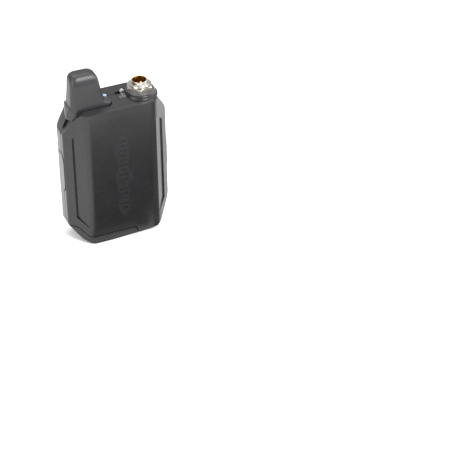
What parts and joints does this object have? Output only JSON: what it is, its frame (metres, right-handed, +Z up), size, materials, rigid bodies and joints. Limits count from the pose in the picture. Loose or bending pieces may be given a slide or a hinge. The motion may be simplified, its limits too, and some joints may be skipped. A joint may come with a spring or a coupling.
{
  "type": "wireless guitar transmitter",
  "caption": "Bodypack radio transmitter for a guitar, with a stub antenna, a locking instrument socket and a power slide switch on top, a hinged battery door below and a sprung belt clip.",
  "frame": {"origin": "on the flat base, half way across the case and 10.5 mm behind its front face", "axes": "+X to the socket's side of the case, +Y from the front face to the belt clip, +Z up towards the antenna"},
  "size_m": [0.0644, 0.0294, 0.1107],
  "materials": {
    "case_shell": "fine matt texture, satin sheen",
    "antenna_shell": "smooth matt moulding",
    "black_plastic": "matt",
    "button_plastic": "matt",
    "blackened_steel": "blackened",
    "clip_steel": "satin black coating",
    "steel": "bright",
    "nickel": "nickel plated",
    "dark_washer": "dark nickel",
    "switch_metal": "satin",
    "brass": "plain",
    "gold": "gold plated",
    "circuit_board": "solder mask",
    "chip_body": "moulded",
    "battery_wrap": "satin",
    "foam": "foam",
    "light_pipe": "milky clear",
    "led_body": "resin"
  },
  "bodies": {
    "case": {"front_cover": "case_shell", "rear_cover": "case_shell", "case_screws": "blackened_steel", "hinge_pin": "steel", "antenna_cover": "antenna_shell", "antenna_element": "brass", "antenna_screw": "steel", "status_led": "light_pipe", "led_chip": "led_body", "power_switch": "black_plastic", "socket_shell": "nickel", "socket_washer": "dark_washer", "socket_nut": "nickel", "socket_insert": "black_plastic", "socket_pins": "gold", "socket_board": "circuit_board", "main_board": "circuit_board", "rf_shield": "steel", "board_chips": "chip_body", "board_screws": "steel", "battery_tray": "black_plastic", "battery": "battery_wrap", "battery_contacts": "gold", "usb_shell": "steel", "usb_tongue": "black_plastic", "link_switch": "switch_metal", "belt_clip": "clip_steel", "clip_pin": "steel"},
    "door": {"battery_door": "case_shell", "door_pad": "foam"},
    "latch": {"door_latch": "black_plastic"},
    "switch": {"switch_knob": "switch_metal"},
    "button": {"link_button": "button_plastic"},
    "tongue": {"clip_tongue": "clip_steel"}
  },
  "joints": [
    {"name": "power_slide", "type": "slide", "parent": "case", "child": "switch", "axis": [-1, 0, 0], "range_m": [0, 0.0026]},
    {"name": "battery_door_hinge", "type": "hinge", "parent": "case", "child": "door", "pos_m": [0, 0.0075, 0.0017], "axis": [1, 0, 0], "range_deg": [0, 90]},
    {"name": "door_latch_slide", "type": "slide", "parent": "door", "child": "latch", "axis": [1, 0, 0], "range_m": [0, 0.0022]},
    {"name": "link_press", "type": "slide", "parent": "case", "child": "button", "axis": [0, 0, 1], "range_m": [0, 0.0004], "stiffness_N_per_m": 1000},
    {"name": "belt_clip_hinge", "type": "hinge", "parent": "case", "child": "tongue", "pos_m": [0, 0.017, 0.0585], "axis": [1, 0, 0], "range_deg": [0, 15], "stiffness_Nm_per_rad": 0.8, "springref_deg": -5.73}
  ]
}
